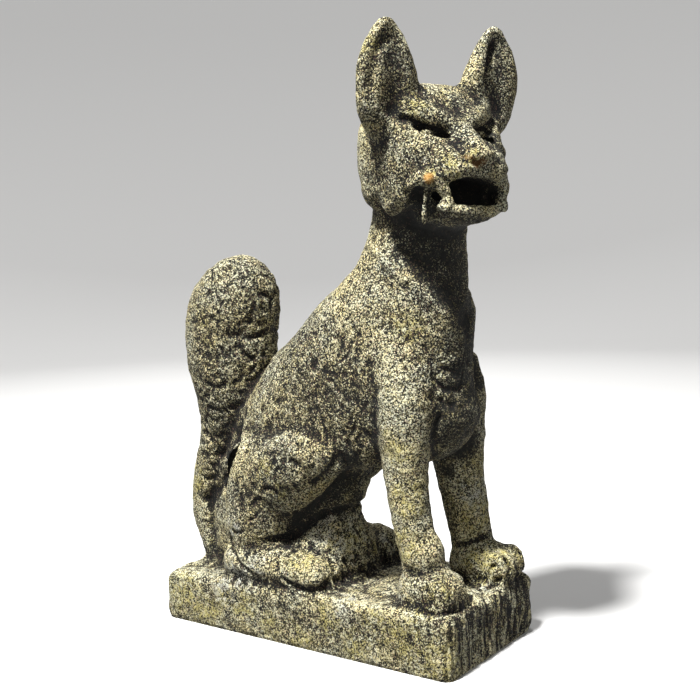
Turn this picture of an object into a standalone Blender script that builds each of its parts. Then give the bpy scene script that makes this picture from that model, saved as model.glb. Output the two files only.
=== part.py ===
"""Seated shrine fox carved with its slab from one block of granite. Metres, +Z up.

The fox faces -Y and turns its head to its right, towards -X. The origin is the middle of the slab's underside.
"""

import math

import bmesh
import bpy
import numpy as np
from mathutils import Matrix, Vector

# The slab under the fox; its top is the level that the heights below start from
SLAB_LENGTH = 0.332
SLAB_WIDTH = 0.160
SLAB_TOP_FRONT = 0.0525
SLAB_TOP_REAR = 0.0455
SLAB_BOTTOM = -0.0030
SLAB_CORNER = 0.009
SLAB_EDGE_WEAR = 0.008

# Torso in level slices: height, middle in Y, half width in X, half depth in Y
TORSO_SLICES = (
    (0.035, 0.073, 0.046, 0.080),
    (0.075, 0.072, 0.046, 0.082),
    (0.105, 0.069, 0.045, 0.086),
    (0.135, 0.059, 0.047, 0.087),
    (0.157, 0.047, 0.050, 0.087),
    (0.168, 0.011, 0.054, 0.118),
    (0.182, -0.005, 0.058, 0.127),
    (0.205, -0.020, 0.061, 0.129),
    (0.235, -0.0305, 0.062, 0.114),
    (0.258, -0.038, 0.061, 0.105),
    (0.286, -0.056, 0.058, 0.088),
    (0.314, -0.0695, 0.054, 0.074),
    (0.342, -0.0860, 0.047, 0.0535),
    (0.369, -0.0935, 0.042, 0.0450),
    (0.420, -0.104, 0.040, 0.043),
)

# Tail in level slices, from the slab up over the bulb
TAIL_SLICES = (
    (0.030, 0.138, 0.032, 0.030),
    (0.054, 0.147, 0.027, 0.028),
    (0.070, 0.158, 0.024, 0.0255),
    (0.088, 0.165, 0.0235, 0.0245),
    (0.118, 0.162, 0.0245, 0.026),
    (0.151, 0.149, 0.0275, 0.029),
    (0.184, 0.136, 0.0310, 0.034),
    (0.216, 0.131, 0.0380, 0.042),
    (0.248, 0.132, 0.0425, 0.049),
    (0.280, 0.1315, 0.0435, 0.0505),
    (0.311, 0.1265, 0.0425, 0.0490),
    (0.330, 0.1230, 0.0370, 0.0425),
    (0.345, 0.1190, 0.0280, 0.0305),
    (0.353, 0.1165, 0.0190, 0.0200),
)
TAIL_TIP = (0.0, 0.113, 0.3595)

# Stone left standing between the hind feet: height, middle in Y, half width in X, half depth in Y
MOUND_SLICES = (
    (0.040, 0.018, 0.054, 0.048),
    (0.062, 0.016, 0.053, 0.045),
    (0.084, 0.011, 0.046, 0.036),
    (0.096, 0.008, 0.037, 0.028),
    (0.104, 0.005, 0.029, 0.022),
    (0.110, 0.003, 0.019, 0.015),
    (0.113, 0.002, 0.009, 0.007),
)
MOUND_MIDDLE_X = -0.004

# Foreleg in level slices: height, distance from the mid plane, middle in Y, radius
FORELEG_SLICES = (
    (0.045, 0.046, -0.121, 0.0185),
    (0.070, 0.046, -0.120, 0.0175),
    (0.090, 0.046, -0.1175, 0.0170),
    (0.124, 0.046, -0.111, 0.0182),
    (0.160, 0.0455, -0.106, 0.0198),
    (0.195, 0.044, -0.105, 0.0232),
    (0.230, 0.040, -0.103, 0.0265),
    (0.262, 0.034, -0.097, 0.0270),
)
LEFT_LEG_STOUTER = 1.21

# Toes of the front paws: spacing, and how far forward they reach, on the fox's right and on its left
TOE_SPACING = (0.0092, 0.0113)
TOE_REACH = (-0.1440, -0.1510)

# Head, in its own frame: u to the fox's left, f forward, h up
HEAD_PIVOT = (0.0, -0.100, 0.440)
HEAD_TURN = math.radians(21.0)

# Skull and muzzle in upright slices from back to nose: f, middle in h, half width, half height
SKULL_SLICES = (
    (-0.037, 0.006, 0.020, 0.020),
    (-0.031, 0.006, 0.042, 0.038),
    (-0.018, 0.005, 0.055, 0.050),
    (0.000, 0.006, 0.0595, 0.0550),
    (0.020, 0.0065, 0.0600, 0.0570),
    (0.034, 0.0065, 0.0595, 0.0530),
    (0.045, 0.003, 0.0565, 0.0430),
    (0.053, -0.003, 0.0505, 0.0330),
    (0.062, -0.008, 0.0430, 0.0240),
    (0.075, -0.011, 0.0345, 0.0175),
    (0.084, -0.012, 0.0250, 0.0120),
    (0.088, -0.012, 0.0140, 0.0070),
)
EAR_SPREAD = 0.0582
EAR_TIP = 0.1160
EYE_INNER = (0.0155, 0.0540, 0.0180)
EYE_MIDDLE = (0.0315, 0.0505, 0.0208)
EYE_OUTER = (0.0470, 0.0420, 0.0285)
NOSE = (0.0, 0.0835, -0.0035)
LIP_KNOB_RIGHT = (-0.0390, 0.0630, -0.0205)
LIP_KNOB_LEFT = (0.0420, 0.0590, -0.0280)
LIP_KNOB_RADIUS = 0.0090

# Ear in level slices: height, middle in u, middle in f, half width, half thickness
EAR_SLICES = (
    (0.006, 0.042, 0.020, 0.013, 0.017),
    (0.030, 0.0515, 0.0245, 0.0270, 0.017),
    (0.050, 0.0538, 0.028, 0.0310, 0.0150),
    (0.070, 0.0560, 0.031, 0.0305, 0.0130),
    (0.088, 0.0577, 0.033, 0.0240, 0.0110),
    (0.102, 0.0580, 0.034, 0.0155, 0.0090),
    (0.111, 0.0582, 0.035, 0.0085, 0.0065),
)

SHARED_VOXEL = 0.0030
CAD_FACES = 9200


def clear_scene():
    for old in list(bpy.data.objects):
        bpy.data.objects.remove(old, do_unlink=True)


def new_object(name, verts, faces):
    mesh = bpy.data.meshes.new(name)
    mesh.from_pydata([tuple(float(c) for c in v) for v in verts], [], [tuple(f) for f in faces])
    mesh.update()
    obj = bpy.data.objects.new(name, mesh)
    bpy.context.scene.collection.objects.link(obj)
    return obj


def smooth_rows(rows, step):
    """Rows of a slice table, with rows added between them on a curve that doesn't overshoot."""
    table = np.array(rows, float)
    knots = table[:, 0]
    slopes = np.gradient(table, knots, axis=0)
    gaps = np.diff(table, axis=0) / np.diff(knots)[:, None]
    flat = gaps[:-1] * gaps[1:] <= 0
    slopes[1:-1][flat] = 0
    out = []
    for i in range(len(knots) - 1):
        span = knots[i + 1] - knots[i]
        count = max(1, int(math.ceil(span / step)))
        for k in range(count):
            t = k / count
            a = (1 + 2 * t) * (1 - t) ** 2
            b = t * (1 - t) ** 2
            c = t * t * (3 - 2 * t)
            d = t * t * (t - 1)
            out.append(a * table[i] + b * span * slopes[i] + c * table[i + 1] + d * span * slopes[i + 1])
    out.append(table[-1])
    return np.array(out)


def ring(centre, half_u, half_v, axis_u, axis_v, count, power=2.0):
    """Points of a superellipse."""
    points = []
    for k in range(count):
        angle = 2 * math.pi * k / count
        c = math.cos(angle)
        s = math.sin(angle)
        x = half_u * math.copysign(abs(c) ** (2 / power), c)
        y = half_v * math.copysign(abs(s) ** (2 / power), s)
        points.append(Vector(centre) + Vector(axis_u) * x + Vector(axis_v) * y)
    return points


def skin(name, rings, start=None, end=None):
    """A closed tube through rings of equal count, ended by points."""
    count = len(rings[0])
    verts = [p for one in rings for p in one]
    faces = []
    for i in range(len(rings) - 1):
        for k in range(count):
            n = (k + 1) % count
            faces.append((i * count + k, i * count + n, (i + 1) * count + n, (i + 1) * count + k))
    first = sum(rings[0], Vector()) / count if start is None else Vector(start)
    last = sum(rings[-1], Vector()) / count if end is None else Vector(end)
    low = len(verts)
    verts += [first, last]
    base = (len(rings) - 1) * count
    for k in range(count):
        n = (k + 1) % count
        faces.append((low, n, k))
        faces.append((low + 1, base + k, base + n))
    obj = new_object(name, verts, faces)
    face_out(obj)
    return obj


def face_out(obj):
    shape = bmesh.new()
    shape.from_mesh(obj.data)
    bmesh.ops.recalc_face_normals(shape, faces=shape.faces)
    if shape.calc_volume(signed=True) < 0:
        bmesh.ops.reverse_faces(shape, faces=shape.faces)
    shape.to_mesh(obj.data)
    shape.free()


def ovoid(name, centre, radii, turn=None):
    """An ellipsoid; turn is a rotation matrix."""
    shape = bmesh.new()
    bmesh.ops.create_uvsphere(shape, u_segments=32, v_segments=20, radius=1.0)
    mesh = bpy.data.meshes.new(name)
    shape.to_mesh(mesh)
    shape.free()
    obj = bpy.data.objects.new(name, mesh)
    bpy.context.scene.collection.objects.link(obj)
    spin = turn.to_4x4() if turn is not None else Matrix.Identity(4)
    mesh.transform(Matrix.Translation(centre) @ spin @ Matrix.Diagonal((*radii, 1.0)))
    return obj


def rod(name, start, end, radius_start, radius_end, flat=1.0, side=(1, 0, 0)):
    """A round-ended bar between two points; flat scales it across the side axis."""
    start = Vector(start)
    end = Vector(end)
    along = (end - start).normalized()
    axis_u = (Vector(side) - along * Vector(side).dot(along)).normalized()
    axis_v = along.cross(axis_u)
    rings = []
    for k in range(1, 6):
        angle = math.pi / 2 * k / 5
        r = radius_start * math.sin(angle)
        rings.append(ring(start - along * radius_start * math.cos(angle), r, r * flat, axis_u, axis_v, 24))
    for k in range(1, 6):
        angle = math.pi / 2 * (1 - k / 5)
        r = radius_end * math.sin(angle) if k < 5 else radius_end * 0.05
        rings.append(ring(end + along * radius_end * math.cos(angle), r, r * flat, axis_u, axis_v, 24))
    rings.insert(5, ring(end, radius_end, radius_end * flat, axis_u, axis_v, 24))
    return skin(name, rings)


def euler(x=0.0, y=0.0, z=0.0):
    return (
        Matrix.Rotation(math.radians(z), 3, "Z")
        @ Matrix.Rotation(math.radians(y), 3, "Y")
        @ Matrix.Rotation(math.radians(x), 3, "X")
    )


HEAD_FRAME = Matrix(
    (
        (math.cos(HEAD_TURN), -math.sin(HEAD_TURN), 0.0),
        (-math.sin(HEAD_TURN), -math.cos(HEAD_TURN), 0.0),
        (0.0, 0.0, 1.0),
    )
).transposed()


def at_head(u, f, h):
    return Vector(HEAD_PIVOT) + HEAD_FRAME @ Vector((u, f, h))


def head_ovoid(name, centre, radii, turn=None):
    spin = HEAD_FRAME @ turn if turn is not None else HEAD_FRAME
    return ovoid(name, at_head(*centre), radii, spin)


def make_slab():
    half_w = SLAB_WIDTH / 2
    half_l = SLAB_LENGTH / 2
    middle = (SLAB_TOP_FRONT + SLAB_BOTTOM) / 2
    shape = bmesh.new()
    bmesh.ops.create_cube(shape, size=1.0)
    mesh = bpy.data.meshes.new("slab")
    shape.to_mesh(mesh)
    shape.free()
    mesh.transform(
        Matrix.Translation((0, 0, middle))
        @ Matrix.Diagonal((SLAB_WIDTH, SLAB_LENGTH, SLAB_TOP_FRONT - SLAB_BOTTOM, 1.0))
    )
    for vertex in mesh.vertices:
        if vertex.co.z > middle and vertex.co.y > 0:
            vertex.co.z = SLAB_TOP_REAR
    obj = bpy.data.objects.new("slab", mesh)
    bpy.context.scene.collection.objects.link(obj)
    shape = bmesh.new()
    shape.from_mesh(mesh)
    upright = [e for e in shape.edges if (e.verts[0].co - e.verts[1].co).xy.length < 1e-6]
    bmesh.ops.bevel(shape, geom=upright, offset=SLAB_CORNER, segments=4, profile=0.5, affect="EDGES")
    rim = [
        e for e in shape.edges
        if all(v.co.z > middle for v in e.verts)
        and all(abs(v.co.x) > half_w - SLAB_CORNER * 1.01 or abs(v.co.y) > half_l - SLAB_CORNER * 1.01
                for v in e.verts)
    ]
    bmesh.ops.bevel(shape, geom=rim, offset=SLAB_EDGE_WEAR, segments=4, profile=0.5, affect="EDGES")
    shape.to_mesh(mesh)
    shape.free()
    face_out(obj)
    return obj


def make_torso():
    rows = smooth_rows(TORSO_SLICES, 0.006)
    rings = []
    for z, y, half_x, half_y in rows:
        rings.append(ring((0, y, z), half_x, half_y, (1, 0, 0), (0, 1, 0), 48, 2.15))
    return skin("torso", rings)


def make_tail():
    rows = smooth_rows(TAIL_SLICES, 0.005)
    rings = []
    for z, y, half_x, half_y in rows:
        rings.append(ring((0, y, z), half_x, half_y, (1, 0, 0), (0, 1, 0), 40))
    return skin("tail", rings, end=TAIL_TIP)


def make_mound():
    rings = []
    for z, y, half_x, half_y in smooth_rows(MOUND_SLICES, 0.004):
        rings.append(ring((MOUND_MIDDLE_X, y, z), half_x, half_y, (1, 0, 0), (0, 1, 0), 40, 2.4))
    return skin("mound", rings)


def make_legs(side):
    """side is -1 for the fox's right, +1 for its left."""
    made = []
    stout = 1.0 if side < 0 else LEFT_LEG_STOUTER
    raised = 0.0 if side < 0 else 0.003
    rings = []
    for z, x, y, radius in smooth_rows(FORELEG_SLICES, 0.006):
        rings.append(ring((side * x, y, z), radius * stout, radius * stout, (1, 0, 0), (0, 1, 0), 28))
    made.append(skin("foreleg", rings))
    made.append(ovoid("shoulder", (side * 0.035, -0.085, 0.250), (0.027, 0.043, 0.066), euler(x=-16)))
    # Front paw: a low block with four toes
    made.append(ovoid("paw", (side * 0.045, -0.127, 0.062 + raised), (0.0235, 0.031, 0.0260)))
    spacing, furthest = (pair[0 if side < 0 else 1] for pair in (TOE_SPACING, TOE_REACH))
    for k in range(4):
        across = -0.0170 + spacing * k
        reach = furthest - 0.003 * math.cos(across * 90)
        made.append(ovoid("toe", (side * 0.045 + across, reach, 0.0610 + raised), (0.0074, 0.0155, 0.0190)))
    if side < 0:
        made.append(ovoid("wrist", (-0.0455, -0.1225, 0.092), (0.0170, 0.0190, 0.0260)))
    # Thigh, knee, hock and the long hind foot
    made.append(ovoid("thigh", (side * 0.046, 0.030, 0.155), (0.0285, 0.084, 0.040), euler(x=-33)))
    made.append(ovoid("haunch", (side * 0.040, 0.062, 0.138), (0.031, 0.050, 0.054)))
    made.append(ovoid("knee", (side * 0.051, -0.0165, 0.175), (0.0215, 0.0255, 0.0240)))
    made.append(ovoid("hock", (side * 0.0490, 0.0640, 0.106), (0.0255, 0.036, 0.050), euler(x=18)))
    made.append(ovoid("flank", (side * 0.017, 0.038, 0.108), (0.026, 0.044, 0.045)))
    made.append(rod("hind_foot", (side * 0.0585, 0.078, 0.064), (side * 0.0585, 0.012, 0.062), 0.0195, 0.0195))
    made.append(ovoid("hind_paw", (side * 0.0575, -0.001, 0.061), (0.0215, 0.026, 0.0210)))
    for k in range(3):
        across = -0.0135 + 0.0135 * k
        made.append(ovoid("toe", (side * 0.0575 + across, -0.0165, 0.060), (0.0080, 0.0125, 0.0150)))
    return made


def make_head():
    made = []
    rings = []
    across = HEAD_FRAME.col[0]
    upward = HEAD_FRAME.col[2]
    for f, h, half_u, half_h in smooth_rows(SKULL_SLICES, 0.004):
        rings.append(ring(at_head(0, f, h), half_u, half_h, across, upward, 48, 2.7))
    made.append(skin("skull", rings))
    for side, knob in ((-1, LIP_KNOB_RIGHT), (1, LIP_KNOB_LEFT)):
        brow_outer = at_head(side * 0.047, 0.036, 0.0410)
        brow_inner = at_head(side * 0.014, 0.0515, 0.0290)
        made.append(rod("brow", brow_outer, brow_inner, 0.0095, 0.0085, side=upward))
        made.append(head_ovoid("cheekbone", (side * 0.031, 0.052, 0.0030), (0.022, 0.014, 0.0135)))
        made.append(head_ovoid("pad", (side * 0.0165, 0.078, -0.0140), (0.0155, 0.0125, 0.0100)))
        made.append(rod("lip", at_head(side * 0.018, 0.077, -0.018), at_head(*knob), 0.0075, 0.0080, side=upward))
        made.append(head_ovoid("lip_knob", knob, (LIP_KNOB_RADIUS,) * 3))
        made.append(rod("jowl", at_head(side * 0.040, 0.032, -0.024), at_head(side * 0.0375, -0.006, -0.0255), 0.0175, 0.0195))
        made.append(rod("cheek_edge", at_head(side * 0.041, 0.057, -0.020), at_head(side * 0.047, 0.022, -0.041), 0.0085, 0.0095))
        rings = []
        for h, u, f, half_u, half_f in smooth_rows(EAR_SLICES, 0.005):
            rings.append(ring(at_head(side * u, f, h), half_u, half_f, across, HEAD_FRAME.col[1], 28))
        made.append(skin("ear", rings, end=at_head(side * EAR_SPREAD, 0.0355, EAR_TIP)))
    made.append(head_ovoid("lip_corner", (0.0395, 0.0570, -0.0405), (0.0090, 0.0095, 0.0090)))
    made.append(rod("bridge", at_head(0, 0.040, 0.026), at_head(0, 0.078, 0.001), 0.0150, 0.0105, side=across))
    made.append(head_ovoid("nose", NOSE, (0.0130, 0.0100, 0.0090)))
    made.append(head_ovoid("jaw", (0.0, 0.044, -0.0485), (0.035, 0.036, 0.0130), euler(x=3)))
    made.append(head_ovoid("chin", (0.003, 0.064, -0.0485), (0.024, 0.0145, 0.0115)))
    return made


def fuse(parts, name, voxel):
    """One closed skin round all the parts."""
    shape = bmesh.new()
    for part in parts:
        shape.from_mesh(part.data)
    mesh = bpy.data.meshes.new(name)
    shape.to_mesh(mesh)
    shape.free()
    for part in parts:
        bpy.data.objects.remove(part, do_unlink=True)
    obj = bpy.data.objects.new(name, mesh)
    bpy.context.scene.collection.objects.link(obj)
    reskin(obj, voxel)
    return obj


def reskin(obj, voxel):
    skin_maker = obj.modifiers.new("skin", "REMESH")
    skin_maker.mode = "VOXEL"
    skin_maker.voxel_size = voxel
    skin_maker.adaptivity = 0.0
    settle(obj)


def settle(obj):
    """Makes the modifiers' result the object's own mesh."""
    bpy.context.view_layer.update()
    graph = bpy.context.evaluated_depsgraph_get()
    made = bpy.data.meshes.new_from_object(obj.evaluated_get(graph))
    obj.modifiers.clear()
    old = obj.data
    obj.data = made
    bpy.data.meshes.remove(old)


def points_of(obj):
    points = np.empty(len(obj.data.vertices) * 3, np.float32)
    obj.data.vertices.foreach_get("co", points)
    return points.reshape(-1, 3).astype(float)


def normals_of(obj):
    normals = np.empty(len(obj.data.vertices) * 3, np.float32)
    obj.data.vertices.foreach_get("normal", normals)
    return normals.reshape(-1, 3).astype(float)


def set_points(obj, points):
    obj.data.vertices.foreach_set("co", points.astype(np.float32).ravel())
    obj.data.update()


def relax(obj, passes, weights=1.0):
    """Rounds the skin without shrinking it."""
    points = points_of(obj)
    edges = np.empty(len(obj.data.edges) * 2, np.int32)
    obj.data.edges.foreach_get("vertices", edges)
    a, b = edges.reshape(-1, 2).T
    count = np.bincount(a, minlength=len(points)) + np.bincount(b, minlength=len(points))
    weights = np.broadcast_to(np.asarray(weights, float), (len(points),))[:, None]
    for step in range(passes * 2):
        total = np.zeros_like(points)
        for axis in range(3):
            total[:, axis] = np.bincount(a, points[b, axis], len(points)) + np.bincount(b, points[a, axis], len(points))
        pull = total / count[:, None] - points
        points += weights * pull * (0.55 if step % 2 == 0 else -0.53)
    set_points(obj, points)


def near_line(points, line):
    """Each point's distance to a line of points, and how far along it the nearest place is, 0 to 1."""
    line = np.array([tuple(p) for p in line], float)
    lengths = np.linalg.norm(np.diff(line, axis=0), axis=1)
    starts = np.concatenate([[0], np.cumsum(lengths)])
    best = np.full(len(points), np.inf)
    along = np.zeros(len(points))
    for i in range(len(line) - 1):
        way = line[i + 1] - line[i]
        t = np.clip((points - line[i]) @ way / max(way @ way, 1e-12), 0, 1)
        gap = np.linalg.norm(points - line[i] - t[:, None] * way, axis=1)
        nearer = gap < best
        best[nearer] = gap[nearer]
        along[nearer] = (starts[i] + t[nearer] * lengths[i]) / starts[-1]
    return best, along


def stroke(points, normals, line, width, depth, push=None):
    """Moves the skin in (depth > 0) or out (depth < 0) along a line, over a band of this half width."""
    gap, _ = near_line(points, line)
    amount = np.clip(1 - gap / width, 0, 1)
    amount = amount * amount * (3 - 2 * amount)
    way = -normals if push is None else np.broadcast_to(np.array(tuple(push), float), points.shape)
    return points + way * (amount * depth)[:, None]


def carve_head(obj):
    points = points_of(obj)
    normals = normals_of(obj)
    back = -HEAD_FRAME.col[1]
    for side in (-1, 1):
        eye = [at_head(side * u, f + 0.003, h) for u, f, h in (EYE_INNER, EYE_MIDDLE, EYE_OUTER)]
        points = stroke(points, normals, eye, 0.0075, 0.0085, back)
        hollow = (at_head(side * 0.054, 0.045, 0.044), at_head(side * 0.0575, 0.047, 0.096))
        points = stroke(points, normals, hollow, 0.0210, 0.0060, back)
        recess = (at_head(side * 0.037, 0.056, -0.037), at_head(side * 0.040, 0.038, -0.052))
        points = stroke(points, normals, recess, 0.0095, 0.0085)
        wing = (at_head(side * 0.019, 0.066, 0.008), at_head(side * 0.018, 0.086, -0.006))
        points = stroke(points, normals, wing, 0.0070, 0.0035)
    set_points(obj, points)


def cut_mouth(obj):
    """The open mouth, hollowed under the upper lip."""
    cutter = head_ovoid("mouth", (-0.001, 0.070, -0.0320), (0.0290, 0.038, 0.0132))
    cutter.hide_render = True
    cutter.display_type = "WIRE"
    cut = obj.modifiers.new("mouth", "BOOLEAN")
    cut.operation = "DIFFERENCE"
    cut.solver = "EXACT"
    cut.object = cutter
    settle(obj)
    bpy.data.objects.remove(cutter, do_unlink=True)


def seat(obj):
    """A flat underside, at height nought."""
    points = points_of(obj)
    points[:, 2] -= points[:, 2].min()
    points[points[:, 2] < 0.0016, 2] = 0.0
    set_points(obj, points)


def thin_out(obj, faces):
    """Fewer faces, kept where the shape bends."""
    fewer = obj.modifiers.new("fewer", "DECIMATE")
    fewer.decimate_type = "COLLAPSE"
    fewer.ratio = faces / (2 * len(obj.data.polygons))
    fewer.use_collapse_triangulate = True
    settle(obj)


def stone(name, rgb):
    material = bpy.data.materials.new(name)
    material.use_nodes = True
    shader = material.node_tree.nodes["Principled BSDF"]
    shader.inputs["Base Color"].default_value = (*rgb, 1.0)
    shader.inputs["Roughness"].default_value = 0.9
    return material


def build():
    clear_scene()
    parts = [make_slab(), make_torso(), make_tail(), make_mound()]
    for side in (-1, 1):
        parts += make_legs(side)
    parts += make_head()
    fox = fuse(parts, "fox_statue", SHARED_VOXEL)
    relax(fox, 6)
    cut_mouth(fox)
    reskin(fox, SHARED_VOXEL)
    relax(fox, 2)
    carve_head(fox)
    seat(fox)
    thin_out(fox, CAD_FACES)
    fox.data.materials.append(stone("granite", (0.34, 0.32, 0.27)))
    return fox


build()
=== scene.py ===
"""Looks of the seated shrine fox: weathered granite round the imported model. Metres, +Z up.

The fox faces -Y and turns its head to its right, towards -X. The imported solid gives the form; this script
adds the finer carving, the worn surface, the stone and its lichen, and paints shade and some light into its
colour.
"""

import math

import bmesh
import bpy
import numpy as np
from mathutils import Matrix, Vector
from mathutils.bvhtree import BVHTree


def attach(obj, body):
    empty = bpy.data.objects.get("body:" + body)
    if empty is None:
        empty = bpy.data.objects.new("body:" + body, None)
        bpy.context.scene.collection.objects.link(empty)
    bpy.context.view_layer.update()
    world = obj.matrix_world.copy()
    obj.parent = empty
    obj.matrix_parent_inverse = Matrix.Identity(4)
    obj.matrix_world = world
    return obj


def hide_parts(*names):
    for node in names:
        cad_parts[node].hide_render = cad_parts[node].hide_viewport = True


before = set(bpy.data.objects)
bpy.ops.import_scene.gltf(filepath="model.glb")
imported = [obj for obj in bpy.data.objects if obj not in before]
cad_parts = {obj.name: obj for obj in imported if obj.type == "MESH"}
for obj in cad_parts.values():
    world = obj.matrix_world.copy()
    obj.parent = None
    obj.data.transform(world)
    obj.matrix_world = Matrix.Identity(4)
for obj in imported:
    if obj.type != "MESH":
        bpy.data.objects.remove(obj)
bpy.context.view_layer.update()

# The photo's camera
PICTURE_SIDE = 700
FOCAL_PIXELS = 1122
SENSOR = 36.0
CAMERA_PLACE = Vector((-0.85934, -0.63421, 0.38471))
CAMERA_AZIMUTH = math.radians(-54.29)
CAMERA_PITCH = math.radians(6.221)
CAMERA_ROLL = math.radians(-1.8)

# The head's own frame: u to the fox's left, f forward, h up
HEAD_PIVOT = Vector((0.0, -0.100, 0.443))
HEAD_TURN = math.radians(21.0)
HEAD_FRAME = Matrix(
    (
        (math.cos(HEAD_TURN), -math.sin(HEAD_TURN), 0.0),
        (-math.sin(HEAD_TURN), -math.cos(HEAD_TURN), 0.0),
        (0.0, 0.0, 1.0),
    )
).transposed()

# The finer mesh: remeshing step, rounds of smoothing on the whole skin and in the ears, and its triangles
VOXEL = 0.0018
SKIN_ROUNDS = 4
EAR_ROUNDS = 30
MOST_FACES = 196000

# Metres: points closer than this are one, the step along added bars, and what lies flat on the ground
WELD_REACH = 0.00002
BAR_STEP = 0.0015
GROUND_REACH = 0.0012

# Depths in metres of what tools and weather leave on the stone
COAT_DEPTH = 0.0009
PIT_DEPTH = 0.0008
CHISEL_DEPTH = 0.0017
EDGE_WEAR = 0.0010

# Rounds of smoothing, and the rise in metres that counts as a whole hollow
HOLLOW_SCALES = ((3, 0.00035), (14, 0.0012), (50, 0.0032))

# How the open sky is felt for: ways looked along, the turn between them, where they start and how far they go
SKY_WAYS = 14
SKY_TURN = 2.39996
SKY_START = 0.0012
SKY_REACH = 0.12


def at_head(u, f, h):
    return HEAD_PIVOT + HEAD_FRAME @ Vector((u, f, h))


def in_head(points):
    return (np.asarray(points, float) - np.array(HEAD_PIVOT)) @ np.array(HEAD_FRAME)


# Camera


def camera_axes():
    back = Vector((
        math.sin(CAMERA_AZIMUTH) * math.cos(CAMERA_PITCH),
        -math.cos(CAMERA_AZIMUTH) * math.cos(CAMERA_PITCH),
        math.sin(CAMERA_PITCH),
    ))
    level = Vector((math.cos(CAMERA_AZIMUTH), math.sin(CAMERA_AZIMUTH), 0.0))
    right = level * math.cos(CAMERA_ROLL) + back.cross(level) * math.sin(CAMERA_ROLL)
    return right, back.cross(right), back


def make_camera():
    data = bpy.data.cameras.new("camera")
    data.sensor_width = SENSOR
    data.lens = FOCAL_PIXELS / PICTURE_SIDE * SENSOR
    data.clip_start = 0.01
    obj = bpy.data.objects.new("camera", data)
    bpy.context.scene.collection.objects.link(obj)
    turn = Matrix(camera_axes()).transposed().to_4x4()
    obj.matrix_world = Matrix.Translation(CAMERA_PLACE) @ turn
    bpy.context.scene.camera = obj


def sight(x, y):
    """The direction in which the camera sees this pixel of the photo."""
    right, up, back = camera_axes()
    across = (x - PICTURE_SIDE / 2) / FOCAL_PIXELS
    down = (y - PICTURE_SIDE / 2) / FOCAL_PIXELS
    return (right * across - up * down - back).normalized()


# Noise on arrays of points


def scramble(cells, seed):
    """A number from 0 to 1 for each whole-number cell."""
    cells = cells.astype(np.int64)
    x, y, z = cells[..., 0], cells[..., 1], cells[..., 2]
    h = x * 73856093 ^ y * 19349663 ^ z * 83492791 ^ (seed * 2654435761)
    h = (h ^ (h >> 13)) * 1274126177 & 0xFFFFFFFF
    h = (h ^ (h >> 15)) * 2246822519 & 0xFFFFFFFF
    return ((h ^ (h >> 16)) & 0xFFFFFF) / float(0xFFFFFF)


def noise(points, size, seed):
    """Smooth noise from about -1 to 1, with features of this size."""
    p = np.asarray(points, float) / size + 1000.0
    cell = np.floor(p)
    part = p - cell
    fade = part * part * part * (part * (part * 6 - 15) + 10)
    total = np.zeros(len(p))
    for corner in np.ndindex(2, 2, 2):
        at = cell + corner
        weight = np.prod(np.where(np.array(corner) == 1, fade, 1 - fade), axis=1)
        slope = np.stack([scramble(at, seed + k) * 2 - 1 for k in range(3)], axis=1)
        total += weight * ((part - corner) * slope).sum(axis=1)
    return total * 1.8


def layers(points, size, count, seed, fall=0.5):
    total = np.zeros(len(points))
    for k in range(count):
        total += fall**k * noise(points, size / 2**k, seed + 10 * k)
    return total


def cells(points, size, seed):
    """Distance to the nearest scattered spot, in spot spacings, and that spot's own number from 0 to 1."""
    p = np.asarray(points, float) / size + 1000.0
    home = np.floor(p)
    best = np.full(len(p), np.inf)
    own = np.zeros(len(p))
    for step in np.ndindex(3, 3, 3):
        at = home + np.array(step) - 1
        spot = at + np.stack([scramble(at, seed + k) for k in range(3)], axis=1)
        gap = ((p - spot) ** 2).sum(axis=1)
        nearer = gap < best
        best[nearer] = gap[nearer]
        own[nearer] = scramble(at[nearer], seed + 7)
    return np.sqrt(best), own


def ease(x):
    x = np.clip(x, 0, 1)
    return x * x * (3 - 2 * x)


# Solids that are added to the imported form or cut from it


def new_object(name, verts, faces):
    mesh = bpy.data.meshes.new(name)
    mesh.from_pydata([tuple(v) for v in verts], [], faces)
    mesh.update()
    obj = bpy.data.objects.new(name, mesh)
    bpy.context.scene.collection.objects.link(obj)
    return obj


def ovoid(centre, radii, turn=None, square=2.0):
    """An ellipsoid, or for a higher power a rounded block; turn is a rotation matrix."""
    shape = bmesh.new()
    bmesh.ops.create_uvsphere(shape, u_segments=32, v_segments=18, radius=1.0)
    for vert in shape.verts:
        x, y, z = (abs(c) for c in vert.co)
        vert.co /= (x**square + y**square + z**square) ** (1 / square)
    mesh = bpy.data.meshes.new("ovoid")
    shape.to_mesh(mesh)
    shape.free()
    obj = bpy.data.objects.new("ovoid", mesh)
    bpy.context.scene.collection.objects.link(obj)
    spin = turn.to_4x4() if turn is not None else Matrix.Identity(4)
    mesh.transform(Matrix.Translation(centre) @ spin @ Matrix.Diagonal((*radii, 1.0)))
    face_out(obj)
    return obj


def head_ovoid(centre, radii, turn=None, square=2.0):
    spin = HEAD_FRAME @ turn if turn is not None else HEAD_FRAME
    return ovoid(at_head(*centre), radii, spin, square)


def smooth_line(line, step):
    """Points along a curve through the line's points."""
    line = [Vector(p) for p in line]
    ends = [line[0] * 2 - line[1]] + line + [line[-1] * 2 - line[-2]]
    out = []
    for i in range(1, len(ends) - 2):
        a, b, c, d = ends[i - 1:i + 3]
        count = max(1, int((c - b).length / step))
        for k in range(count):
            t = k / count
            square = 2 * a - 5 * b + 4 * c - d
            cube = 3 * b - a - 3 * c + d
            out.append(0.5 * (2 * b + (c - a) * t + square * t**2 + cube * t**3))
    out.append(line[-1])
    return out


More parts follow.
